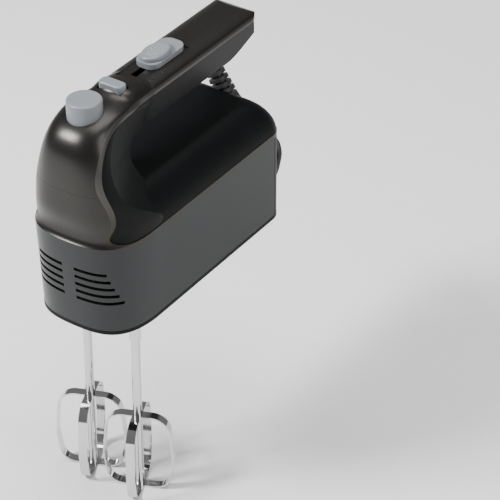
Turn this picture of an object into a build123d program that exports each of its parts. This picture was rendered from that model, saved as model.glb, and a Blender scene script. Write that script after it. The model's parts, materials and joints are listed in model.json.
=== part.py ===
from build123d import *
import math
import os

# Hand mixer with two flat beaters, a mains cord and its plug. All sizes are in millimetres.
# The origin is the middle of the hand grip, +Z is up, -Y points to the nose, and the beaters hang down.

# ---------------------------------------------------------------- driving dimensions
tip_z = -300.0  # lowest point of the beaters
base_z = -142.0  # underside of the motor housing
base_thick = 3.2
trim_z = -69.6  # upper edge of the side panels
seam_z = -30.0  # joint between top cover and body shell on the nose
grip_seam_z = -19.0  # joint between the two black mouldings
half_width = 41.5  # of the motor housing
nose_y = -119.4  # foremost point of the nose
nose_foot_y = -115.0  # the nose leans back to here at the base
nose_side_y = -74.0  # where the rounded nose meets the flat sides
rear_y = 79.0
rear_corner = 14.0
heel_y = 66.0  # the black heel cover starts here
wall = 2.4
gap = 0.3  # between pieces that move past each other

fan_y, fan_z = -40.0, -30.0  # nose and handle are built round this point
handle_crown, handle_half_width, handle_drop = 47.8, 18.5, 8.0
handle_inner, handle_inner_half_width = 16.0, 13.5
handle_end_y = 87.0
lip_z = 9.8  # lower edge of the painted cover along the handle
bezel_width = 3.4

spindle_x, spindle_y = 21.0, -75.0
stem_r, spindle_bore_r, spindle_r, bush_bore_r = 3.25, 3.30, 5.5, 5.55
motor_z = -98.0  # height of the motor shaft
shaft_r, worm_r, wheel_r, wheel_teeth = 2.5, 5.0, 15.7, 36
front_bearing_r = 4.9
stem_top_z = -80.0
eject_clear = 0.3

button_y, button_r, button_top_z = -92.5, 12.0, 26.0
turbo_y, turbo_w, turbo_l, turbo_top_z = -62.5, 19.0, 9.0, 23.6
slider_y0, slider_y1, slider_w, slider_top_z = -29.0, 9.0, 18.0, 24.4
slider_travel = 18.0
recess_floor_z = 16.9

strip_w, strip_t = 6.5, 1.0  # the flat steel of the beater loops
loop_top_z, loop_top_r, loop_wide_z, loop_wide_x, loop_bottom_r = -235.5, 13.9, -273.0, 25.9, 11.7
blade_angle = 22.5

cord_d = 5.2
coil_x, coil_y, coil_z = -13.0, 99.0, -118.0
coil_radii = (23.4, 28.6, 33.8)  # the turns in each of two layers
coil_turns = 5.5
plug_y, plug_z, plug_face_x = 111.6, -108.0, -43.2
pin_r, pin_spacing = 2.0, 18.6
plug_start_x = -0.2  # where the cord enters the plug's guard
relief_base, relief_dir, relief_length = Vector(0, 69, -55.5), Vector(-0.5, 0, 0.8660254), 28.0
screw_places = ((-30.0, -95.0), (30.0, -95.0), (-32.0, 58.0), (32.0, 58.0))

os.makedirs("parts", exist_ok=True)


def save(piece, name):
    """Label a finished piece and write it to its own file."""
    piece.label = name
    export_step(piece, f"parts/{name}.step")


def block(low, high):
    """A plain block between two corners."""
    with BuildPart() as piece:
        with BuildSketch(Plane(((low[0] + high[0]) / 2, (low[1] + high[1]) / 2, low[2]))):
            Rectangle(high[0] - low[0], high[1] - low[1])
        extrude(amount=high[2] - low[2])
    return piece.part


def ring(plane, outer_r, length, bore_r=0.0):
    """A disc or a ring that grows from a plane along its normal."""
    with BuildPart() as piece:
        with BuildSketch(plane):
            Circle(outer_r)
            if bore_r:
                Circle(bore_r, mode=Mode.SUBTRACT)
        extrude(amount=length)
    return piece.part


def upright(x, y, z):
    return Plane((x, y, z))


def lengthwise(y, x=0.0, z=motor_z):
    """A plane across the motor shaft, facing the rear."""
    return Plane(origin=(x, y, z), x_dir=(1, 0, 0), z_dir=(0, 1, 0))


def joined(*solids):
    """Separate or touching solids as one piece."""
    with BuildPart() as piece:
        for solid in solids:
            add(solid)
    return piece.part


def less(solid, *tools):
    """A solid with other solids cut away."""
    with BuildPart() as piece:
        add(solid)
        for tool in tools:
            add(tool, mode=Mode.SUBTRACT)
    return piece.part


def common(first, second):
    with BuildPart() as piece:
        add(first)
        add(second, mode=Mode.INTERSECT)
    return piece.part


# ---------------------------------------------------------------- outer form
def plan_face(z, front_y, inset):
    """The housing's plan: a rounded nose, flat sides and a flat rear with round corners."""
    w, front, back = half_width - inset, front_y + inset, rear_y - inset
    r = max(rear_corner - inset, rear_corner * 0.75)
    with BuildSketch(Plane.XY.offset(z)) as sketch:
        with BuildLine():
            Spline((w, nose_side_y), (w * 0.71, front + 6.7), (0, front), tangents=[(0, -1), (-1, 0)])
            Spline((0, front), (-w * 0.71, front + 6.7), (-w, nose_side_y), tangents=[(-1, 0), (0, 1)])
            Line((-w, nose_side_y), (-w, back - r))
            RadiusArc((-w, back - r), (-w + r, back), r)
            Line((-w + r, back), (w - r, back))
            RadiusArc((w - r, back), (w, back - r), r)
            Line((w, back - r), (w, nose_side_y))
        make_face()
    return sketch.sketch


def lower_form(inset, low_z, high_z):
    """The motor housing up to the trim line; its nose leans forward towards the top."""
    with BuildPart() as piece:
        add(plan_face(low_z, nose_foot_y, inset))
        add(plan_face(high_z, nose_y, inset))
        loft()
    return piece.part


# height, crown distance, half width, drop to the shoulder, inner distance, inner half width,
# and where the crown's curve passes on its way: a share of the half width and a share of the drop
column_sections = (
    (trim_z, 79.4, 41.5, 45.4, 6.0, 41.3, 0.71, 0.148),
    (-50.0, 79.4, 38.0, 34.0, 18.0, 26.0, 0.72, 0.19),
)
# angle above the nose direction, then the same values
fan_sections = (
    (0.0, 79.4, 31.0, 18.0, 25.5, 17.0, 0.76, 0.27),
    (13.0, 81.0, 27.0, 18.0, 25.5, 15.5, 0.76, 0.27),
    (26.0, 81.0, 24.0, 18.0, 25.0, 15.0, 0.76, 0.27),
    (38.0, 73.0, 22.0, 13.0, 23.0, 14.5, 0.76, 0.27),
    (56.0, 57.6, 20.0, 10.0, 19.0, 14.0, 0.76, 0.27),
    (90.0, handle_crown, handle_half_width, handle_drop, handle_inner, handle_inner_half_width, 0.76, 0.27),
)


def cover_face(plane, crown, w, drop, inner, w_in, mid_x, mid_y, inset):
    """A closed section: flat inner side, straight flanks and a crowned outer side."""
    c, w, v, w_in = crown - inset, w - inset, inner + inset, w_in - inset
    with BuildSketch(plane) as sketch:
        with BuildLine():
            Spline((w, c - drop), (w * mid_x, c - drop * mid_y), (0, c), tangents=[(0, 1), (-1, 0)])
            Spline((0, c), (-w * mid_x, c - drop * mid_y), (-w, c - drop), tangents=[(-1, 0), (0, -1)])
            Line((-w, c - drop), (-w_in, v))
            Line((-w_in, v), (w_in, v))
            Line((w_in, v), (w, c - drop))
        make_face()
    return sketch.sketch


def fan_plane(angle):
    """A plane through the fan axis whose local y points outward at an angle above the nose."""
    a = math.radians(angle)
    return Plane(origin=(0, fan_y, fan_z), x_dir=(-1, 0, 0), z_dir=(0, math.sin(a), math.cos(a)))


def nose_form(inset):
    """The column at the nose, turning over into the front of the handle."""
    with BuildPart() as piece:
        for z, *values in column_sections:
            plane = Plane(origin=(0, fan_y, z), x_dir=(-1, 0, 0), z_dir=(0, 0, 1))
            add(cover_face(plane, *values, inset))
        for angle, *values in fan_sections:
            add(cover_face(fan_plane(angle), *values, inset))
        loft()
    return piece.part


def handle_form(inset):
    """The straight handle, cut to a boat tail at its rear end."""
    end = handle_end_y - inset
    under = fan_z + handle_inner + inset
    top = fan_z + handle_crown
    with BuildPart() as piece:
        for distance in (0, handle_end_y - fan_y):
            add(cover_face(fan_plane(90.0).offset(distance), *fan_sections[-1][1:], inset))
        loft(ruled=True)
        with BuildSketch(Plane.YZ.offset(-30)):
            with BuildLine():
                Line((fan_y - 1, top + 1), (end - 22, top + 1))
                Spline((end - 22, top + 1), (end - 4, top - 6), (end, top - 12), tangents=[(1, 0), (0, -1)])
                Spline((end, top - 12), (end - 9, top - 21), (48, under - 0.5), tangents=[(-0.2, -1), (-1, -0.05)])
                Line((48, under - 0.5), (fan_y - 1, under - 0.5))
                Line((fan_y - 1, under - 0.5), (fan_y - 1, top + 1))
            make_face()
        extrude(amount=60, mode=Mode.INTERSECT)
        with BuildSketch(Plane.XY.offset(-40)):
            with BuildLine():
                w = handle_half_width + 1
                Line((w, fan_y - 1), (w, end - 22))
                Spline((w, end - 22), (w * 0.72, end - 5.5), (0, end + 0.5), tangents=[(0, 1), (-1, 0)])
                Spline((0, end + 0.5), (-w * 0.72, end - 5.5), (-w, end - 22), tangents=[(-1, 0), (0, -1)])
                Line((-w, end - 22), (-w, fan_y - 1))
                Line((-w, fan_y - 1), (w, fan_y - 1))
            make_face()
        extrude(amount=80, mode=Mode.INTERSECT)
    return piece.part


def upper_form(inset):
    return joined(nose_form(inset), handle_form(inset))


def split_region(grow):
    """The side region of the black mouldings; grow widens it towards the painted pieces."""
    far = 130.0
    with BuildPart() as piece:
        with BuildSketch(Plane.YZ.offset(-60)):
            with BuildLine():
                Line((far, lip_z + grow), (-78, lip_z + grow))
                Spline((-78, lip_z + grow), (-100 - grow * 0.6, 2 + grow * 0.7), (-110.5 - grow, -26),
                       (-107.0 - grow * 0.8, -53 - grow * 0.4), (-86, trim_z - grow), tangents=[(-1, 0), (1, 0)])
                Line((-86, trim_z - grow), (far, trim_z - grow))
                Line((far, trim_z - grow), (far, lip_z + grow))
            make_face()
        extrude(amount=120)
    return piece.part


def dome_form(inset, floor_z):
    """The black top of the motor housing: a pillow that rises from the trim line to a broad crown."""
    with BuildPart() as piece:
        for z, shrink in ((floor_z, 0.3), (-59.0 - inset, 4.2), (-50.5 - inset, 10.5), (-45.2 - inset, 20.0)):
            add(plan_face(z, nose_y + 16, inset * 0.7 + shrink))
        loft()
    return piece.part


def outer_pieces():
    """The painted covers, the bezel between the colours and the black mouldings."""
    foot_z = base_z + base_thick
    lower_out = lower_form(0, foot_z, trim_z)
    lower_in = lower_form(wall, foot_z - 1, trim_z + 1)
    upper_out, upper_in = upper_form(0), upper_form(wall)
    black = split_region(0)
    painted = split_region(bezel_width)

    button_hole = ring(upright(0, button_y, -5), button_r + gap + 0.1, 40)
    turbo_hole = block((-turbo_w / 2 - gap, turbo_y - turbo_l / 2 - gap, 8),
                       (turbo_w / 2 + gap, turbo_y + turbo_l / 2 + gap, 30))
    recess = block((-slider_w / 2 - 0.6, slider_y0 - slider_travel - 0.8, recess_floor_z),
                   (slider_w / 2 + 0.6, slider_y1 + 0.8, 30))
    slot = block((-2.4, -40, 8), (2.4, -0.5, 30))

    upper_shell = less(upper_out, upper_in, painted)
    above_seam = block((-60, -140, seam_z + 0.05), (60, 140, 60))
    top_cover = less(common(upper_shell, above_seam), button_hole, turbo_hole, recess, slot)
    save(top_cover, "top_cover")

    below_seam = block((-60, -140, trim_z), (60, 0, seam_z - 0.05))
    save(common(upper_shell, below_seam), "nose_cover")
    rear_space = block((-60, heel_y, -200), (60, 120, 20))
    save(less(lower_out, lower_in, painted, rear_space, vent_cuts()), "body_shell")

    heel = common(less(lower_out, lower_in, painted), block((-60, heel_y + 0.1, -200), (60, 120, 20)))
    save(heel, "heel_cover")

    band = less(painted, black)
    trim_all = joined(common(less(upper_out, upper_in), band), common(less(lower_out, lower_in), band))
    for side, low_x, high_x in (("right", 0.5, 60), ("left", -60, -0.5)):
        half = common(trim_all, block((low_x, -140, -100), (high_x, 140, 60)))
        save(half, f"{side}_bezel")

    inner_out, inner_in = upper_form(0.6), upper_form(0.6 + wall)
    core = common(less(inner_out, inner_in), black)
    grip = common(core, block((-60, -140, grip_seam_z + 0.05), (60, 140, 60)))
    save(grip, "handle_grip")
    pillar = common(core, block((-60, -140, trim_z), (60, -20, grip_seam_z - 0.05)))
    pillar_in = common(inner_in, block((-60, -140, trim_z - 5), (60, -20, grip_seam_z + 5)))
    dome_in = dome_form(wall, trim_z - 3)
    dome = less(common(dome_form(0, trim_z + 0.05), black), dome_in, pillar_in)
    body_top = less(joined(less(pillar, dome_in), dome), relief_socket())
    save(body_top, "body_top")


def relief_socket():
    """The round seat of the strain relief in the black body top."""
    return ring(Plane(origin=relief_base, z_dir=relief_dir).offset(-8), 9.5, 11)


def vent_cuts():
    """Two mirrored groups of five slots; the lower ones reach further round the nose."""
    cuts = []
    for row in range(5):
        z = -91.0 - 6.0 * row
        outer_x = 28.0 + 1.8 * row
        for side in (-1, 1):
            low, high = sorted((side * 5.0, side * outer_x))
            cuts.append(block((low, -130, z - 1.2), (high, -85, z + 1.2)))
    return joined(*cuts)


def base_pieces():
    """The black floor with two sockets for the spindles."""
    with BuildPart() as floor:
        add(plan_face(base_z, nose_foot_y, -0.2))
        extrude(amount=base_thick)
        fillet(floor.faces().sort_by(Axis.Z)[0].edges(), 1.2)
        with BuildSketch(Plane.XY.offset(base_z)):
            with Locations((-spindle_x, spindle_y), (spindle_x, spindle_y)):
                Circle(10.0)
        extrude(amount=-2.0)
        with BuildSketch(Plane.XY.offset(base_z - 3)):
            with Locations((-spindle_x, spindle_y), (spindle_x, spindle_y)):
                Circle(spindle_r + 0.8)
        extrude(amount=10, mode=Mode.SUBTRACT)
        with BuildSketch(Plane.XY.offset(base_z)):
            with Locations(*screw_places):
                Circle(1.7)
        extrude(amount=base_thick, mode=Mode.SUBTRACT)
    save(floor.part, "base_plate")


def screw(x, y, z, length, head_r=2.8, shank_r=1.4):
    """A screw with its head at z and its shank going up."""
    return joined(ring(upright(x, y, z), head_r, 1.6), ring(upright(x, y, z + 1.6), shank_r, length))


def fasteners():
    posts, screws = [], []
    for x, y in screw_places:
        posts.append(ring(upright(x, y, base_z + base_thick), 3.4, 24, 1.42))
        screws.append(screw(x, y, base_z - 1.6, 16))
    save(joined(*screws), "base_screws")
    save(joined(*posts), "screw_posts")


# ---------------------------------------------------------------- beaters and gears
def loop_outline(inset):
    """Half of a beater loop: from the stem at the top, round the outside, back to the stem at the bottom."""
    top, wide, low = loop_top_z - inset, loop_wide_x - inset, tip_z + inset
    with BuildLine() as line:
        FilletPolyline((0, top), (wide - 3.2, top), (wide, loop_wide_z), (wide - 3.5, low + 1.2), (0, low),
                       radius=[loop_top_r - inset, 30.0, loop_bottom_r - inset])
    return line


def beater(side, sx):
    """A steel stem with two crossed loops of flat strip."""
    shaft_low = tip_z + 0.6
    with BuildPart() as stem:
        with BuildSketch(upright(sx, spindle_y, shaft_low)):
            Circle(stem_r)
        extrude(amount=stem_top_z - shaft_low)
        chamfer(stem.faces().sort_by(Axis.Z)[-1].edges(), 0.8)
        for angle in (0, 180):  # two lugs that key the stem into its spindle
            a = math.radians(angle + blade_angle)
            with BuildSketch(upright(sx + 3.2 * math.cos(a), spindle_y + 3.2 * math.sin(a), -170)):
                Circle(1.1)
            extrude(amount=12)
    save(stem.part, f"{side}_beater_stem")

    core = ring(upright(sx, spindle_y, tip_z - 1), stem_r + 0.001, 120)
    blades = []
    for quarter in range(4):
        a = math.radians(blade_angle + 90 * quarter)
        plane = Plane(origin=(sx, spindle_y, 0), x_dir=(math.cos(a), math.sin(a), 0),
                      z_dir=(math.sin(a), -math.cos(a), 0))
        with BuildPart() as blade:
            with BuildSketch(plane.offset(-strip_w / 2)):
                with BuildLine():
                    add(loop_outline(0).line)
                    Line((0, loop_top_z), (0, tip_z))
                make_face()
            extrude(amount=strip_w)
            with BuildSketch(plane.offset(-strip_w)):
                with BuildLine():
                    add(loop_outline(strip_t).line)
                    Line((0, loop_top_z - strip_t), (0, tip_z + strip_t))
                make_face()
            extrude(amount=2 * strip_w, mode=Mode.SUBTRACT)
            add(core, mode=Mode.SUBTRACT)
            with BuildSketch(upright(sx + 40 * math.cos(a), spindle_y + 40 * math.sin(a), tip_z - 1)):
                Circle(40.0 - 0.02)
            extrude(amount=120, mode=Mode.INTERSECT)
        blades.extend(blade.part.solids())
    save(joined(*blades), f"{side}_beater_blades")


def spindle(side, sx):
    """A hollow output shaft and the worm wheel pressed on it."""
    with BuildPart() as tube:
        with BuildSketch(upright(sx, spindle_y, base_z + 0.5)):
            Circle(spindle_r)
            Circle(spindle_bore_r, mode=Mode.SUBTRACT)
        extrude(amount=-89.0 - base_z - 0.5)
    save(tube.part, f"{side}_spindle")
    with BuildPart() as wheel:
        with BuildSketch(upright(sx, spindle_y, motor_z - 4)):
            Circle(wheel_r - 1.6)
            with PolarLocations(wheel_r - 1.2, wheel_teeth):
                Rectangle(2.2, 1.2)
            Circle(spindle_r, mode=Mode.SUBTRACT)
        extrude(amount=8)
    save(wheel.part, f"{side}_worm_wheel")


def gear_frame_pieces():
    """The frame that holds both spindles and the front of the motor shaft."""
    holes = [(-spindle_x, spindle_y), (spindle_x, spindle_y)]
    with BuildPart() as frame:
        with BuildSketch(Plane.XY.offset(-114)):
            with Locations((0, -77)):
                RectangleRounded(68, 44, 6)
        extrude(amount=4)
        for y in (-95.0, -57.0):
            with BuildSketch(upright(0, y, -110)):
                Rectangle(20, 4)
            extrude(amount=17)
        for x in (-30.0, 30.0):
            with BuildSketch(upright(x, -57.2, -110)):
                Rectangle(4, 4)
            extrude(amount=17)
        with BuildSketch(Plane.XY.offset(-115)):
            with Locations(*holes):
                Circle(8.0)
        extrude(amount=6, mode=Mode.SUBTRACT)
        with BuildSketch(lengthwise(-98)):
            Circle(front_bearing_r)
        extrude(amount=50, mode=Mode.SUBTRACT)
    save(frame.part, "gear_frame")
    with BuildPart() as lid:
        with BuildSketch(Plane.XY.offset(-93)):
            with Locations((0, -75)):
                RectangleRounded(66, 42, 6)
            with Locations(*holes):
                Circle(8.0, mode=Mode.SUBTRACT)
        extrude(amount=3)
    save(lid.part, "gear_lid")
    for name, z in (("lower_bushes", -114), ("upper_bushes", -93)):
        height = 4 if z < -100 else 3
        save(joined(*(ring(upright(x, y, z), 8.0, height, bush_bore_r) for x, y in holes)), name)


def ejector_pieces():
    """The round eject button, its rod and the yoke over the two beater stems."""
    y = button_y
    with BuildPart() as button:
        with BuildSketch(upright(0, y, 1)):
            Circle(button_r)
        extrude(amount=button_top_z - 1)
        fillet(button.faces().sort_by(Axis.Z)[-1].edges(), 1.6)
        with BuildSketch(upright(0, y, 0.9)):
            Circle(button_r - 2)
        extrude(amount=20, mode=Mode.SUBTRACT)
        with BuildSketch(upright(0, y, 1)):
            Circle(6.0)
        extrude(amount=21)
    save(button.part, "eject_button")
    yoke_z = stem_top_z + eject_clear
    with BuildPart() as yoke:
        with BuildSketch(Plane.XY.offset(yoke_z)):
            with Locations((0, spindle_y)):
                Rectangle(2 * spindle_x + 9, 8)
            with Locations((0, (y + spindle_y) / 2)):
                Rectangle(8, abs(y - spindle_y) + 4)
        extrude(amount=3)
        with BuildSketch(upright(0, y, yoke_z + 3)):
            Circle(3.0)
        extrude(amount=1 - yoke_z - 3)
    save(yoke.part, "eject_yoke")
    with BuildPart() as guide:
        with BuildSketch(upright(0, y, -24)):
            Rectangle(30, 14)
            Circle(3.1, mode=Mode.SUBTRACT)
        extrude(amount=3)
        for x in (-12.5, 12.5):
            with BuildSketch(upright(x, y, -90)):
                Rectangle(4, 6)
            extrude(amount=66)
    save(guide.part, "eject_guide")
    save(spring(0, y, -20.8, 21.4, 5.2, 0.5, 4.2), "eject_spring")


def spring(x, y, z, height, radius, wire_r, pitch):
    """A round-wire compression spring standing on z."""
    path = Helix(pitch=pitch, height=height - 2 * wire_r, radius=radius, center=(x, y, z + wire_r))
    with BuildPart() as piece:
        with BuildSketch(Plane(origin=path @ 0, z_dir=path % 0)):
            Circle(wire_r)
        sweep(path=path, is_frenet=True)
    return piece.part


# ---------------------------------------------------------------- motor
def rotor_pieces():
    save(ring(lengthwise(-98.5), shaft_r, 163.5), "motor_shaft")
    starts, length = 3, 24.0
    with BuildPart() as worm:
        with BuildSketch(lengthwise(-87)):
            Circle(worm_r - 1.3)
            with PolarLocations(worm_r - 1.3, starts):
                Rectangle(2.3, 1.8)
            Circle(shaft_r, mode=Mode.SUBTRACT)
        extrude(amount=length)
    save(worm.part, "worm")
    with BuildPart() as fan:
        with BuildSketch(lengthwise(-44)):
            Circle(6.0)
            Circle(shaft_r, mode=Mode.SUBTRACT)
        extrude(amount=9)
        with BuildSketch(lengthwise(-36.5)):
            Circle(23.0)
            Circle(shaft_r, mode=Mode.SUBTRACT)
        extrude(amount=1.5)
        with BuildSketch(lengthwise(-44)):
            with PolarLocations(14.0, 9):
                Rectangle(17.0, 1.2)
        extrude(amount=8)
    save(fan.part, "cooling_fan")
    with BuildPart() as core:
        with BuildSketch(lengthwise(0)):
            Circle(13.5)
            with PolarLocations(12.2, 12):
                Rectangle(4.4, 1.8, mode=Mode.SUBTRACT)
            Circle(shaft_r, mode=Mode.SUBTRACT)
        extrude(amount=26)
    save(core.part, "armature_core")
    ends = [ring(lengthwise(y), 9.8, 7.0, shaft_r) for y in (-7.2, 26.2)]
    save(joined(*ends), "armature_winding")
    with BuildPart() as commutator:
        with BuildSketch(lengthwise(36)):
            Circle(9.0)
            with PolarLocations(8.8, 24):
                Rectangle(1.0, 0.35, mode=Mode.SUBTRACT)
            Circle(shaft_r, mode=Mode.SUBTRACT)
        extrude(amount=12)
    save(commutator.part, "commutator")


def stator_pieces():
    windows = [(x, z) for x in (-16.5, 16.5) for z in (-15.0, 15.0)]
    with BuildPart() as core:
        with BuildSketch(lengthwise(0)):
            RectangleRounded(54, 50, 5)
            Circle(14.0, mode=Mode.SUBTRACT)
            with Locations(*windows):
                Rectangle(6.4, 8.4, mode=Mode.SUBTRACT)
        extrude(amount=26)
    save(core.part, "stator_core")
    coils = []
    for z in (-15.0, 15.0):
        with BuildPart() as coil:
            with BuildSketch(Plane.XY.offset(motor_z + z - 3.9)):
                with Locations((0, 13)):
                    Rectangle(39.0, 39.4)
                    Rectangle(27.0, 27.0, mode=Mode.SUBTRACT)
            extrude(amount=7.8)
        coils.append(coil.part)
    save(joined(*coils), "field_coils")
    with BuildPart() as bracket:
        with BuildSketch(lengthwise(58)):
            Rectangle(52, 16)
            Circle(6.0, mode=Mode.SUBTRACT)
        extrude(amount=4)
        for x in (-24.0, 24.0):
            with BuildSketch(lengthwise(26.1, x=x)):
                Rectangle(4, 12)
            extrude(amount=31.9)
    save(bracket.part, "motor_bracket")
    save(ring(lengthwise(-97), front_bearing_r, 4, shaft_r + 0.04), "front_bearing")
    save(ring(lengthwise(58), 6.0, 4, shaft_r + 0.04), "rear_bearing")
    holders, brushes = [], []
    for side in (-1, 1):
        across = Plane(origin=(side * 9.6, 42, motor_z), x_dir=(0, 1, 0), z_dir=(side, 0, 0))
        with BuildPart() as holder:
            with BuildSketch(across):
                Rectangle(8, 8)
                Rectangle(5.2, 5.2, mode=Mode.SUBTRACT)
            extrude(amount=12)
        holders.append(holder.part)
        with BuildPart() as brush:
            with BuildSketch(across.offset(-0.3)):
                Rectangle(5, 5)
            extrude(amount=9)
        brushes.append(brush.part)
    save(joined(*holders), "brush_holders")
    save(joined(*brushes), "carbon_brushes")


# ---------------------------------------------------------------- controls
def control_pieces():
    with BuildPart() as turbo:
        with BuildSketch(upright(0, turbo_y, 13.0)):
            RectangleRounded(turbo_w, turbo_l, 3.6)
        extrude(amount=turbo_top_z - 13.0)
        fillet(turbo.faces().sort_by(Axis.Z)[-1].edges(), 1.2)
        with BuildSketch(upright(0, turbo_y, 8.0)):
            Circle(2.0)
        extrude(amount=5.0)
    save(turbo.part, "turbo_button")
    save(block((-6, turbo_y - 4, -8), (6, turbo_y + 4, 4.6)), "turbo_switch")
    save(spring(0, turbo_y, 4.9, 7.8, 3.0, 0.35, 1.9), "turbo_spring")

    middle = (slider_y0 + slider_y1) / 2
    with BuildPart() as slider:
        with BuildSketch(upright(0, middle, recess_floor_z + gap)):
            RectangleRounded(slider_w, slider_y1 - slider_y0, 7.0)
        extrude(amount=slider_top_z - 3.4 - recess_floor_z - gap)
        with BuildSketch(upright(0, slider_y0 + 14.5, slider_top_z - 3.5)):
            Ellipse(8.4, 13.2)
        extrude(amount=3.5)
        fillet(slider.faces().sort_by(Axis.Z)[-1].edges(), 1.6)
        with BuildSketch(upright(0, -6, 5.5)):
            Rectangle(4.0, 8.0)
        extrude(amount=recess_floor_z + gap - 5.5)
    save(slider.part, "speed_slider")
    save(block((-9, -34, -10), (9, 12, 4.9)), "speed_switch")
    ticks = [block((11.6, -44 + 4.6 * i, 10), (13.4, -43.4 + 4.6 * i, 20)) for i in range(6)]
    save(less(common(joined(*ticks), upper_form(-0.25)), upper_form(0)), "speed_marks")
    save(block((-16, -15, -66), (16, 35, -64.4)), "control_board")
    save(joined(*(ring(upright(x, y, -64.4), 3.0, 8.0) for x, y in ((-8, 0), (8, 0), (0, 22)))), "board_parts")
    save(block((-12, 40, -76), (12, 54, -66)), "terminal_block")
    save(block((-9, 44, -62), (9, 52, -59)), "cord_clamp")


# ---------------------------------------------------------------- cord and plug
cord_route = (
    tuple(relief_base + relief_dir * relief_length),
    tuple(relief_base + relief_dir * (relief_length + 16)),
    (-35.5, 77.3, -13.0),
    (-46.5, 86.5, -19.5),
    (-50.0, 90.5, -35.5),
    (-48.5, 92.5, -55.0),
    (-44.5, 97.0, -76.0),
    (-45.4, 98.4, -95.0),
    (-46.8, 97.0, -112.0),
)
tail_route = (
    (20.8, 102.0, -129.0),
    (20.6, 103.5, -117.0),
    (12.6, 111.4, -108.2),
    (plug_start_x, plug_y, plug_z),
)


def tube(route, name):
    """A round cord along straight runs joined by tangent arcs."""
    points = [Vector(*p) for p in route]
    runs = [(b - a) for a, b in zip(points, points[1:])]
    radii = []
    for a, b in zip(runs, runs[1:]):
        half_turn = math.radians(a.get_angle(b)) / 2
        radii.append(0.45 * min(a.length, b.length) / math.tan(half_turn))
    with BuildPart() as piece:
        with BuildLine():
            path = FilletPolyline(*points, radius=radii)
        with BuildSketch(Plane(origin=path @ 0, z_dir=path % 0)):
            Circle(cord_d / 2)
        sweep(path=path)
    expected = math.pi * cord_d**2 / 4 * path.length
    print(name, "radii", [round(r, 1) for r in radii], "runs", [round(r.length, 1) for r in runs],
          "turns", [round(a.get_angle(b)) for a, b in zip(runs, runs[1:])],
          "length", round(path.length, 1), "volume ratio", round(piece.part.volume / expected, 4))
    save(piece.part, name)
    return path.length


def cord_pieces():
    plane = Plane(origin=relief_base, z_dir=relief_dir)
    with BuildPart() as relief:
        with BuildSketch(plane.offset(-7)):
            Circle(9.5)
        with BuildSketch(plane.offset(3)):
            Circle(8.0)
        loft()
        with BuildSketch(plane.offset(3)):
            Circle(4.6)
        with BuildSketch(plane.offset(relief_length)):
            Circle(3.8)
        loft()
        for i in range(5):
            with BuildSketch(plane.offset(5.2 + 4.6 * i)):
                Circle(8.2 - 0.45 * i)
            extrude(amount=2.4)
    save(relief.part, "strain_relief")
    length = tube(cord_route, "cord") + tube(tail_route, "cord_tail")
    low, high = coil_radii[0] - cord_d / 2, coil_radii[-1] + cord_d / 2
    with BuildPart() as coil:
        with BuildSketch(Plane.XY.offset(coil_z)):
            with Locations((coil_x + (low + high) / 2, coil_y)):
                RectangleRounded(high - low, 2 * cord_d, 2.5)
        revolve(axis=Axis((coil_x, coil_y, coil_z), (0, 1, 0)))
    save(coil.part, "cord_coil")
    turns = sum(2 * math.pi * r for r in coil_radii) * 2 * coil_turns / 6
    print("cord length", round(length + turns), "mm")
    tie_x, tie_z = coil_x, coil_z - (low + high) / 2
    with BuildPart() as tie:
        with BuildSketch(Plane(origin=(tie_x - 3, coil_y, tie_z), x_dir=(0, 1, 0), z_dir=(1, 0, 0))):
            RectangleRounded(2 * cord_d + 2.6, high - low + 2.6, 3.0)
            RectangleRounded(2 * cord_d + 0.6, high - low + 0.6, 2.4, mode=Mode.SUBTRACT)
        extrude(amount=6)
    save(tie.part, "cord_tie")


def plug_pieces():
    toward = Plane(origin=(plug_start_x, plug_y, plug_z), x_dir=(0, 1, 0), z_dir=(-1, 0, 0))
    length = plug_start_x - plug_face_x
    with BuildPart() as body:
        with BuildSketch(toward):
            Circle(3.6)
        with BuildSketch(toward.offset(10)):
            RectangleRounded(12.0, 18.0, 5.0)
        loft()
        with BuildSketch(toward.offset(10)):
            RectangleRounded(13.4, 27.0, 5.5)
        with BuildSketch(toward.offset(length)):
            RectangleRounded(13.4, 35.0, 6.0)
        loft()
        with BuildSketch(toward.offset(length)):
            with Locations((0, -pin_spacing / 2), (0, pin_spacing / 2)):
                Circle(1.9)
        extrude(amount=10, taper=0.8)
    save(body.part, "plug_body")
    pins = []
    for side in (-1, 1):
        plane = Plane(origin=(plug_face_x - 10, plug_y, plug_z + side * pin_spacing / 2), x_dir=(0, 1, 0),
                      z_dir=(-1, 0, 0))
        with BuildPart() as pin:
            with BuildSketch(plane):
                Circle(pin_r)
            extrude(amount=9)
            fillet(pin.faces().sort_by(Axis.X)[0].edges(), 1.0)
        pins.append(pin.part)
    save(joined(*pins), "plug_pins")


outer_pieces()
base_pieces()
fasteners()
for side_name, side_x in (("left", -spindle_x), ("right", spindle_x)):
    beater(side_name, side_x)
    spindle(side_name, side_x)
gear_frame_pieces()
ejector_pieces()
rotor_pieces()
stator_pieces()
control_pieces()
cord_pieces()
plug_pieces()
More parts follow.
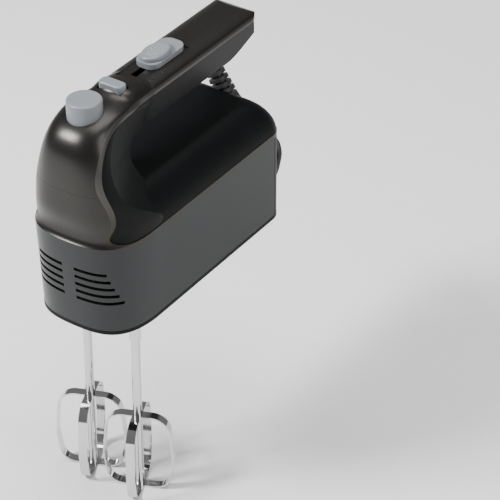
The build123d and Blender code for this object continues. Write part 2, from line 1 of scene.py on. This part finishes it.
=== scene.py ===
import json
from math import cos, pi, radians, sin
import bmesh
import bpy
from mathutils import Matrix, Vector


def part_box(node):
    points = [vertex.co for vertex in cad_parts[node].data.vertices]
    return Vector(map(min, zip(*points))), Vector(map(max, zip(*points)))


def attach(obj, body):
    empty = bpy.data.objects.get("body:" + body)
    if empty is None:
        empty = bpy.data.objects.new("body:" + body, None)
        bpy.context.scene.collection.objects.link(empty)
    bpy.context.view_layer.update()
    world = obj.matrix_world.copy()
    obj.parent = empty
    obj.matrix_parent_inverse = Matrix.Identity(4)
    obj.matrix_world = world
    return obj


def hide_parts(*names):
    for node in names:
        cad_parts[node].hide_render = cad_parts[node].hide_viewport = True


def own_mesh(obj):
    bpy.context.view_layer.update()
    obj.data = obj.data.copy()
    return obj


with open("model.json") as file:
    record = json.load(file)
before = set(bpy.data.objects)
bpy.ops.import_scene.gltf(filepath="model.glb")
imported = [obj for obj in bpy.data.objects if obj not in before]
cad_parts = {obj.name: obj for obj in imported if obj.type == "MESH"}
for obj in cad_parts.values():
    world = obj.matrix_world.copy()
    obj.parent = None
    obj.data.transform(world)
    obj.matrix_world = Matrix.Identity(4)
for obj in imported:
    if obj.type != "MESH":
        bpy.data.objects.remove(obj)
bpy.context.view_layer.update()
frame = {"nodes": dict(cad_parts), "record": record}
NODES = frame["nodes"]
FLOOR_Z = -0.300  # the tips of the beaters
CORD_D = 0.0052


# ---------------------------------------------------------------- camera
def set_camera():
    data = bpy.data.cameras.new("camera")
    data.lens, data.sensor_width = 172.0, 36.0
    camera = bpy.data.objects.new("camera", data)
    camera.location = (0.82214, -1.11315, 0.82878)
    camera.rotation_euler = (radians(54.8), 0, radians(34.2))
    bpy.context.scene.collection.objects.link(camera)
    bpy.context.scene.camera = camera


# ---------------------------------------------------------------- shader maths
class Wire:
    """A socket's value that takes part in plain arithmetic."""

    def __init__(self, finish, socket):
        self.finish, self.socket = finish, socket

    def _math(self, operation, *values):
        return self.finish.node("ShaderNodeMath", {"operation": operation}, dict(enumerate(values)))

    def __add__(self, other):
        return self._math("ADD", self, other)

    def __radd__(self, other):
        return self._math("ADD", other, self)

    def __sub__(self, other):
        return self._math("SUBTRACT", self, other)

    def __rsub__(self, other):
        return self._math("SUBTRACT", other, self)

    def __mul__(self, other):
        return self._math("MULTIPLY", self, other)

    def __rmul__(self, other):
        return self._math("MULTIPLY", other, self)

    def ramp(self, low, high, start=0.0, end=1.0):
        """Runs smoothly from start to end as the value goes from low to high."""
        settings = {"interpolation_type": "SMOOTHSTEP"}
        return self.finish.node("ShaderNodeMapRange", settings,
                                {0: self, 1: low, 2: high, 3: start, 4: end})


class Finish:
    """One material: a principled shader whose varying sockets take wires."""

    def __init__(self, name, **constants):
        self.material = bpy.data.materials.new(name)
        self.material.use_nodes = True
        self.tree = self.material.node_tree
        self.shader = self.tree.nodes["Principled BSDF"]
        for socket, value in constants.items():
            self.shader.inputs[socket.replace("_", " ")].default_value = value

    def node(self, kind, settings, values, output=0):
        made = self.tree.nodes.new(kind)
        for name, value in settings.items():
            if name == "stops":
                for number, (place, colour) in enumerate(value):
                    stop = (made.color_ramp.elements[number] if number < 2
                            else made.color_ramp.elements.new(place))
                    stop.position, stop.color = place, colour
            else:
                setattr(made, name, value)
        for socket, value in values.items():
            if isinstance(value, Wire):
                self.tree.links.new(value.socket, made.inputs[socket])
            else:
                made.inputs[socket].default_value = value
        return Wire(self, made.outputs[output])

    def place(self, scale=(1, 1, 1)):
        """Object coordinates, stretched."""
        here = self.node("ShaderNodeTexCoord", {}, {}, "Object")
        return self.node("ShaderNodeVectorMath", {"operation": "MULTIPLY"}, {0: here, 1: scale})

    def axis(self, letter):
        here = self.node("ShaderNodeTexCoord", {}, {}, "Object")
        return self.node("ShaderNodeSeparateXYZ", {}, {0: here}, "XYZ".index(letter))

    def noise(self, scale, detail=2.0, stretch=(1, 1, 1)):
        return self.node("ShaderNodeTexNoise", {},
                         {"Vector": self.place(stretch), "Scale": scale, "Detail": detail}, "Fac")

    def mix(self, factor, one, two):
        return self.node("ShaderNodeMix", {"data_type": "RGBA"}, {0: factor, 6: one, 7: two}, 2)

    def feed(self, socket, wire):
        self.tree.links.new(wire.socket, self.shader.inputs[socket])

    def bump(self, height, distance, strength=1.0):
        self.feed("Normal", self.node("ShaderNodeBump", {},
                                      {"Height": height, "Distance": distance, "Strength": strength}))


def grey(level, warm=0.0):
    return (level * (1 + warm), level, level * (1 - warm), 1.0)


def graphite_lacquer():
    """Warm graphite lacquer with fine flakes, and below the trim line a cooler, bluish tone: a painted
    reflection on the side panels.
    """
    finish = Finish("graphite lacquer", Metallic=0.85, Roughness=0.36, Specular_IOR_Level=0.25)
    flake = finish.noise(5200, 1.0)
    cloud = finish.noise(35, 2.0)
    # painted reflection: below the trim line the base colour turns cooler and bluish
    panel = finish.axis("Z").ramp(-0.0702, -0.0690, 1.0, 0.0)
    base = finish.mix(panel, (0.036, 0.034, 0.032, 1), (0.031, 0.0335, 0.035, 1))
    finish.feed("Base Color", finish.mix(flake.ramp(0.35, 0.7, 0.0, 0.35), base, (0.075, 0.071, 0.067, 1)))
    finish.feed("Roughness", 0.27 + 0.04 * cloud + 0.05 * flake)
    finish.bump(flake, 0.00002, 0.25)
    return finish.material


def bronze_trim():
    """The satin chamfer that edges the painted cover: dark brown low down, turning lighter grey higher up.
    """
    finish = Finish("bronze trim", Metallic=0.8, Roughness=0.34, Specular_IOR_Level=0.3)
    flake = finish.noise(4200, 1.0)
    low = finish.axis("Z").ramp(-0.065, -0.02, 1.0, 0.0)
    base = finish.mix(low, (0.085, 0.081, 0.077, 1), (0.034, 0.030, 0.024, 1))
    finish.feed("Base Color", finish.mix(flake * 0.3, base, (0.09, 0.086, 0.08, 1)))
    finish.feed("Roughness", 0.32 + 0.08 * flake)
    return finish.material


def black_moulding():
    """Satin black plastic with a fine spark-eroded grain."""
    finish = Finish("black moulding", Roughness=0.4, Specular_IOR_Level=0.12)
    grain = finish.noise(2600, 3.0)
    worn = finish.noise(28, 3.0)
    finish.feed("Base Color", finish.mix(worn, (0.0028, 0.003, 0.0035, 1), (0.0048, 0.0052, 0.006, 1)))
    finish.feed("Roughness", 0.38 + 0.1 * grain + 0.05 * worn)
    finish.bump(grain, 0.00004, 0.35)
    return finish.material


def light_moulding():
    """Light grey satin plastic of the buttons and the slider."""
    finish = Finish("light grey moulding", Roughness=0.38, Coat_Weight=0.1)
    grain = finish.noise(2200, 2.0)
    cloud = finish.noise(45, 2.0)
    finish.feed("Base Color", finish.mix(cloud, (0.17, 0.183, 0.2, 1), (0.2, 0.213, 0.23, 1)))
    finish.feed("Roughness", 0.36 + 0.1 * grain)
    finish.bump(grain, 0.00002, 0.3)
    return finish.material


def polished_plate(name, colour):
    """Bright plating with faint smears."""
    finish = Finish(name, Metallic=1.0, Roughness=0.08)
    smear = finish.noise(60, 3.0, (1, 1, 0.35))
    finish.feed("Base Color", finish.mix(smear, colour, grey(0.72)))
    finish.feed("Roughness", 0.06 + 0.09 * smear)
    finish.bump(smear, 0.00004, 0.15)
    return finish.material


def cable_sheath():
    """Matte black sheath of the mains cord and its plug."""
    finish = Finish("cable sheath", Roughness=0.55, Sheen_Weight=0.08)
    dust = finish.noise(240, 3.0)
    finish.feed("Base Color", finish.mix(dust, (0.010, 0.010, 0.011, 1), (0.022, 0.022, 0.023, 1)))
    finish.feed("Roughness", 0.46 + 0.16 * dust)
    finish.bump(finish.noise(1800, 2.0), 0.00003, 0.4)
    return finish.material


def plain(name, one, two, metal, rough, scale=300, stretch=(1, 1, 1)):
    """A finish for the pieces inside: two close tones, with a light grain."""
    finish = Finish(name, Metallic=metal, Roughness=rough)
    grain = finish.noise(scale, 2.0, stretch)
    finish.feed("Base Color", finish.mix(grain, one, two))
    finish.feed("Roughness", rough - 0.06 + 0.12 * grain)
    finish.bump(grain, 0.00003, 0.3)
    return finish.material


def make_finishes():
    return {
        "graphite_paint": graphite_lacquer(),
        "bronze_trim": bronze_trim(),
        "black_satin": black_moulding(),
        "light_grey": light_moulding(),
        "beater_chrome": polished_plate("beater plating", grey(0.55)),
        "pin_nickel": polished_plate("pin plating", (0.62, 0.6, 0.55, 1)),
        "cord_black": cable_sheath(),
        "dark_mark": plain("printed mark", grey(0.01), grey(0.02), 0.0, 0.5),
        "zinc_steel": plain("zinc steel", grey(0.4), grey(0.52), 1.0, 0.35, 500, (1, 1, 0.2)),
        "sintered_bronze": plain("sintered bronze", (0.40, 0.26, 0.14, 1), (0.5, 0.34, 0.19, 1),
                                 1.0, 0.45, 900),
        "brass": plain("brass", (0.58, 0.43, 0.2, 1), (0.65, 0.5, 0.25, 1), 1.0, 0.3),
        "copper": plain("enamelled copper", (0.5, 0.2, 0.1, 1), (0.62, 0.3, 0.16, 1),
                        0.9, 0.35, 800, (1, 6, 1)),
        "lamination": plain("electrical steel", grey(0.12), grey(0.22), 0.9, 0.5, 900, (0.1, 1, 0.1)),
        "white_nylon": plain("natural nylon", (0.66, 0.64, 0.57, 1), (0.72, 0.7, 0.64, 1), 0.0, 0.45),
        "carbon": plain("carbon", grey(0.02), grey(0.04), 0.0, 0.6),
        "switch_black": plain("switch moulding", grey(0.02), grey(0.035), 0.0, 0.45),
        "board_green": plain("circuit board", (0.02, 0.13, 0.05, 1), (0.03, 0.18, 0.08, 1), 0.0, 0.4),
    }


# ---------------------------------------------------------------- cord
COIL_CENTRE = (-0.013, 0.099, -0.118)
COIL_TURNS = 5.5
STEPS_PER_TURN = 16
TURN_RADII = (0.0234, 0.0286, 0.0338)
LAYER_Y = (0.0964, 0.1016)


def coil_points():
    """Turns in two layers: in to the smallest in front, out again behind, and off at the right side."""
    x0, _, z0 = COIL_CENTRE
    points = []
    for step in range(1, int(COIL_TURNS * STEPS_PER_TURN)):
        turn = step / STEPS_PER_TURN
        angle = pi + 2 * pi * turn
        way = min(turn, COIL_TURNS - turn)
        radius = TURN_RADII[2] - (TURN_RADII[2] - TURN_RADII[0]) * min(1.0, way / 2.6)
        blend = max(0.0, min(1.0, (turn - 2.5) / 0.5))
        y = LAYER_Y[0] + (LAYER_Y[1] - LAYER_Y[0]) * blend
        points.append((x0 + radius * cos(angle), y, z0 + radius * sin(angle)))
    return points


def make_cord():
    in_relief = [(-0.0070, 0.069, -0.0434)]
    route = [(-0.014, 0.069, -0.03125), (-0.022, 0.069, -0.0174), (-0.0355, 0.0773, -0.0130),
             (-0.0465, 0.0865, -0.0195), (-0.0500, 0.0905, -0.0355), (-0.0485, 0.0925, -0.0550),
             (-0.0445, 0.0970, -0.0760), (-0.0454, 0.0984, -0.0950), (-0.0468, 0.0970, -0.1120)]
    tail = [(0.0208, 0.1018, -0.1180), (0.0206, 0.1035, -0.1115), (0.0126, 0.1114, -0.1082),
            (-0.0002, 0.1116, -0.1080), (-0.0060, 0.1116, -0.1080)]
    points = in_relief + route + coil_points() + tail
    data = bpy.data.curves.new("mains cord", "CURVE")
    data.dimensions = "3D"
    data.bevel_depth, data.bevel_resolution, data.resolution_u = CORD_D / 2, 5, 6
    data.use_fill_caps = True
    spline = data.splines.new("NURBS")
    spline.points.add(len(points) - 1)
    for point, place in zip(spline.points, points):
        point.co = (*place, 1.0)
    spline.order_u, spline.use_endpoint_u = 3, True
    line = bpy.data.objects.new("cord line", data)
    bpy.context.scene.collection.objects.link(line)
    bpy.context.view_layer.update()
    skin = bpy.data.meshes.new_from_object(line.evaluated_get(bpy.context.evaluated_depsgraph_get()))
    data.bevel_depth = 0.0
    bpy.context.view_layer.update()
    bare = bpy.data.meshes.new_from_object(line.evaluated_get(bpy.context.evaluated_depsgraph_get()))
    bpy.data.objects.remove(line)
    skin.materials.clear()
    skin.shade_smooth()
    cord = bpy.data.objects.new("mains_cord", skin)
    bpy.context.scene.collection.objects.link(cord)
    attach(cord, "housing")
    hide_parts("cord", "cord_coil", "cord_tail")
    return cord


# ---------------------------------------------------------------- springs
def make_spring(name, finish):
    """A return spring, copied from its piece with its own mesh and finish, and carried by the housing."""
    spring = bpy.data.objects.new(name + "_wire", NODES[name].data.copy())
    spring.data.materials.clear()
    spring.data.materials.append(finish)
    spring.data.shade_smooth()
    bpy.context.scene.collection.objects.link(spring)
    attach(spring, "housing")
    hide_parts(name)
    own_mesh(spring)


# ---------------------------------------------------------------- slider
def rounded_bar(mesh, middle, half_length, radius):
    """A low bar along X with rounded ends, added to a mesh."""
    sides = 10
    rings = []
    end = [(1.0, 0.05), (0.985, 0.6), (0.95, 0.9), (0.9, 1.0)]
    stations = [(-along, swell) for along, swell in end] + end[::-1]
    for along, swell in stations:
        ring = []
        for step in range(sides):
            angle = 2 * pi * step / sides
            ring.append(mesh.verts.new((middle[0] + half_length * along,
                                        middle[1] + radius * swell * cos(angle),
                                        middle[2] + radius * swell * sin(angle))))
        rings.append(ring)
    for one, two in zip(rings, rings[1:]):
        for step in range(sides):
            after = (step + 1) % sides
            mesh.faces.new((one[step], one[after], two[after], two[step]))
    mesh.faces.new(rings[0][::-1])
    mesh.faces.new(rings[-1])


def make_thumb_ribs(finish):
    """Fine grip ribs across the raised thumb pad of the speed slider."""
    low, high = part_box("speed_slider")
    centre_y, top_z = low[1] + 0.0145, high[2]
    mesh = bmesh.new()
    for row in range(9):
        y = centre_y - 0.0080 + 0.0020 * row
        reach = (1 - ((y - centre_y) / 0.0120) ** 2) ** 0.5
        rounded_bar(mesh, (0, y, top_z - 0.0001), 0.0070 * reach, 0.00045)
    data = bpy.data.meshes.new("thumb ribs")
    mesh.to_mesh(data)
    mesh.free()
    data.shade_smooth()
    data.materials.append(finish)
    ribs = bpy.data.objects.new("thumb_ribs", data)
    bpy.context.scene.collection.objects.link(ribs)
    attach(ribs, "speed_slider")


# ---------------------------------------------------------------- room
def make_room():
    bpy.ops.mesh.primitive_plane_add(size=12, location=(0, 0, FLOOR_Z))
    floor = bpy.context.object
    floor.name = "floor"
    paper = Finish("paper floor", Roughness=0.9, Base_Color=(0.93, 0.93, 0.93, 1))
    floor.data.materials.append(paper.material)
    world = bpy.data.worlds.new("studio")
    world.use_nodes = True
    world.node_tree.nodes["Background"].inputs[0].default_value = (1, 1, 1, 1)
    world.node_tree.nodes["Background"].inputs[1].default_value = 0.22
    bpy.context.scene.world = world
    for name, place, size, power in (("soft box left", (-0.95, -1.15, 1.3), (0.5, 0.5), 62),
                                     ("soft box right", (1.5, -0.1, 0.75), (0.5, 1.2), 10),
                                     ("overhead", (0.0, 0.35, 1.7), (1.6, 1.2), 34)):
        light = bpy.data.lights.new(name, "AREA")
        light.shape, light.size, light.size_y, light.energy = "RECTANGLE", *size, power
        lamp = bpy.data.objects.new(name, light)
        lamp.location = place
        lamp.rotation_euler = (Vector((0, 0, -0.08)) - Vector(place)).to_track_quat("-Z", "Y").to_euler()
        bpy.context.scene.collection.objects.link(lamp)


def dress(finishes):
    """Every carried-over piece takes its slot's finish."""
    slots = {part["node"]: part["material_slot"] for part in frame["record"]["subparts"]}
    for name, piece in NODES.items():
        piece.data.materials.clear()
        piece.data.materials.append(finishes[slots[name]])


set_camera()
cord = make_cord()
finishes = make_finishes()
cord.data.materials.append(finishes["cord_black"])
dress(finishes)
make_thumb_ribs(finishes["light_grey"])
make_spring("eject_spring", finishes["zinc_steel"])
make_spring("turbo_spring", finishes["zinc_steel"])
make_room()

bpy.context.view_layer.update()
